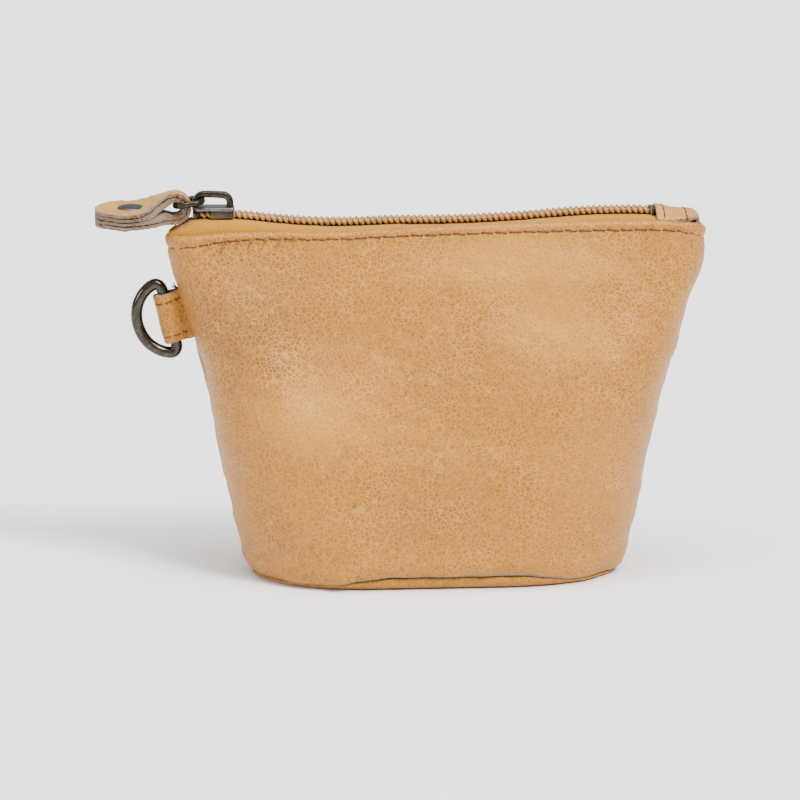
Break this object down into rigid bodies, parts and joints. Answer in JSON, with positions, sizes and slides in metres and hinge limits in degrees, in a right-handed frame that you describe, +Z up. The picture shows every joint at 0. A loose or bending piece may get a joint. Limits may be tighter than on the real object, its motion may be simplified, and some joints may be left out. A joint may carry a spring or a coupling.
{
  "type": "zippered pouch",
  "caption": "Small trapezoid leather coin pouch with a coil zip, a leather pull tab on a wire ring and a D-ring on its left seam.",
  "frame": {"origin": "centre of the base's underside, on the surface that the pouch stands on", "axes": "+X along the zip towards its right end, +Y from the front panel to the back panel, +Z up"},
  "size_m": [0.1592, 0.0504, 0.1006],
  "materials": {
    "leather": "pebbled aniline leather, caramel tan, soft satin sheen",
    "pull_leather": "smooth pale tan leather",
    "raw_suede": "raw fibrous cut edge and flesh side",
    "lining": "plain woven cotton, matt",
    "zip_tape": "golden woven polyester tape, matt",
    "zip_coil": "nylon coil, tan brown, semi-matt",
    "antique_brass": "antique plated, worn to brass along its edges",
    "gunmetal": "dark gunmetal plate, satin",
    "thread": "dark brown twisted thread"
  },
  "bodies": {
    "pouch": {"front_panel": "leather", "back_panel": "leather", "base_panel": "leather", "front_lining": "lining", "back_lining": "lining", "base_lining": "lining", "zip_bottom_stop": "antique_brass", "zip_end_tab": "pull_leather", "d_ring_loop": "pull_leather", "front_hem_thread": "thread", "back_hem_thread": "thread", "d_loop_thread": "thread", "end_tab_thread": "thread"},
    "front_flap": {"zip_tape_front": "zip_tape", "zip_coil_front": "zip_coil", "zip_top_stop_front": "antique_brass"},
    "back_flap": {"zip_tape_back": "zip_tape", "zip_coil_back": "zip_coil", "zip_top_stop_back": "antique_brass"},
    "slider": {"slider_body": "antique_brass", "slider_bail": "antique_brass"},
    "pull_ring": {"pull_ring": "antique_brass"},
    "pull_tab": {"pull_tab_outer": "pull_leather", "pull_tab_lining": "raw_suede", "rivet_cap": "gunmetal", "rivet_post": "gunmetal"},
    "d_ring": {"d_ring": "antique_brass"}
  },
  "joints": [
    {"name": "slider_travel", "type": "slide", "parent": "pouch", "child": "slider", "axis": [1, 0, 0], "range_m": [0, 0.105]},
    {"name": "front_flap_swing", "type": "hinge", "parent": "pouch", "child": "front_flap", "pos_m": [0, -0.0063, 0.09], "axis": [1, 0, 0], "range_deg": [0, 65], "deforming": ["zip_tape_front", "zip_coil_front", "zip_top_stop_front"]},
    {"name": "back_flap_swing", "type": "hinge", "parent": "pouch", "child": "back_flap", "pos_m": [0, 0.0063, 0.09], "axis": [-1, 0, 0], "range_deg": [0, 65], "deforming": ["zip_tape_back", "zip_coil_back", "zip_top_stop_back"]},
    {"name": "pull_ring_swing", "type": "hinge", "parent": "slider", "child": "pull_ring", "pos_m": [-0.0599, 0, 0.09835], "axis": [0, 1, 0], "range_deg": [0, 115]},
    {"name": "pull_tab_swing", "type": "hinge", "parent": "pull_ring", "child": "pull_tab", "pos_m": [-0.0668, 0, 0.09719], "axis": [0, 1, 0], "range_deg": [0, 75]},
    {"name": "d_ring_swing", "type": "hinge", "parent": "pouch", "child": "d_ring", "pos_m": [-0.06866, 0, 0.068], "axis": [-0.2419, 0, 0.9703], "range_deg": [-100, 100]}
  ],
  "couplings": [
    {"joint": "front_flap_swing", "follows": "slider_travel", "rad_per_m": 10.7},
    {"joint": "back_flap_swing", "follows": "slider_travel", "rad_per_m": 10.7}
  ]
}
